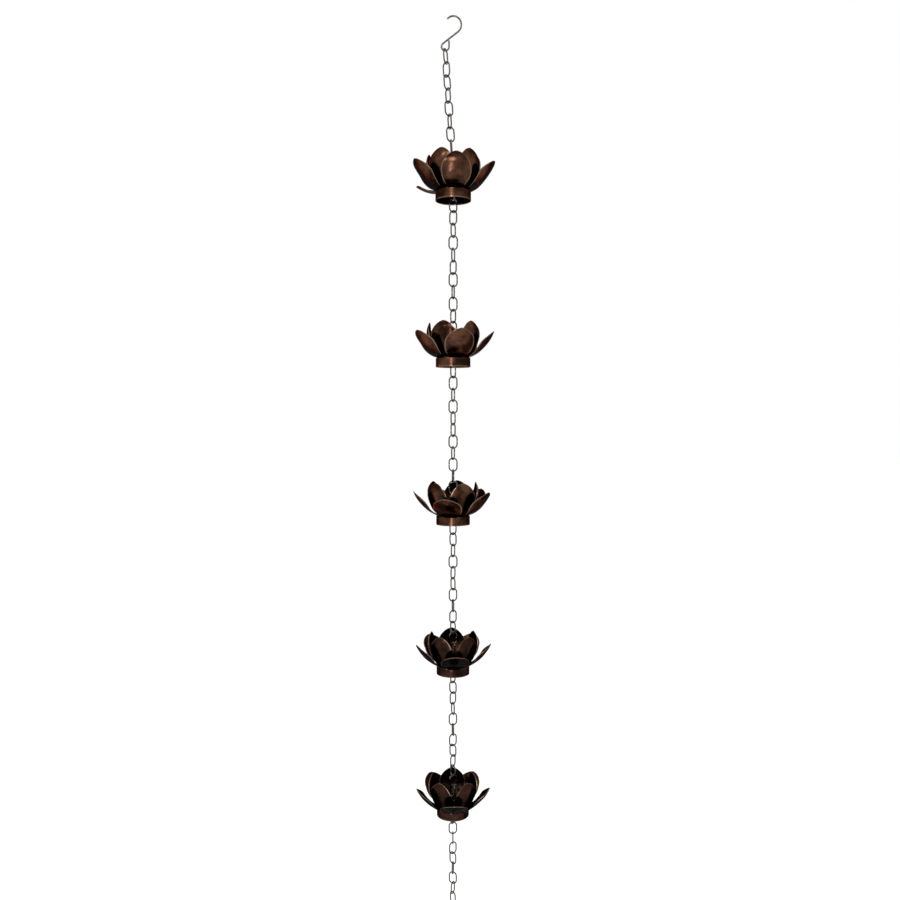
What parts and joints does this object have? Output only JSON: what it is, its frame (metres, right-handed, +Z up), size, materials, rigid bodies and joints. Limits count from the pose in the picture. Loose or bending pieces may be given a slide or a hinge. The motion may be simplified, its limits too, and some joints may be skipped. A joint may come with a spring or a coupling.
{
  "type": "rain chain",
  "caption": "Rain chain of linked wire with lotus cups along it, hung from a gutter by a bent wire hook.",
  "frame": {"origin": "inside top of the hook's arc, where the hook bears on its support", "axes": "+Z up along the hanging chain, +X to the right as seen from the front, +Y away from the viewer"},
  "size_m": [0.1125, 0.1167, 1.2507],
  "materials": {
    "cup_finish": "semi-gloss",
    "wire_finish": "satin"
  },
  "bodies": {
    "root": {"hook": "wire_finish", "chain_run_1": "wire_finish", "cup_1_hanger": "wire_finish", "cup_1_collar": "cup_finish", "cup_1_open_petals": "cup_finish", "cup_1_upright_petals": "cup_finish", "chain_run_2": "wire_finish", "cup_2_hanger": "wire_finish", "cup_2_collar": "cup_finish", "cup_2_open_petals": "cup_finish", "cup_2_upright_petals": "cup_finish", "chain_run_3": "wire_finish", "cup_3_hanger": "wire_finish", "cup_3_collar": "cup_finish", "cup_3_open_petals": "cup_finish", "cup_3_upright_petals": "cup_finish", "chain_run_4": "wire_finish", "cup_4_hanger": "wire_finish", "cup_4_collar": "cup_finish", "cup_4_open_petals": "cup_finish", "cup_4_upright_petals": "cup_finish", "chain_run_5": "wire_finish", "cup_5_hanger": "wire_finish", "cup_5_collar": "cup_finish", "cup_5_open_petals": "cup_finish", "cup_5_upright_petals": "cup_finish", "chain_run_6": "wire_finish"}
  },
  "joints": []
}
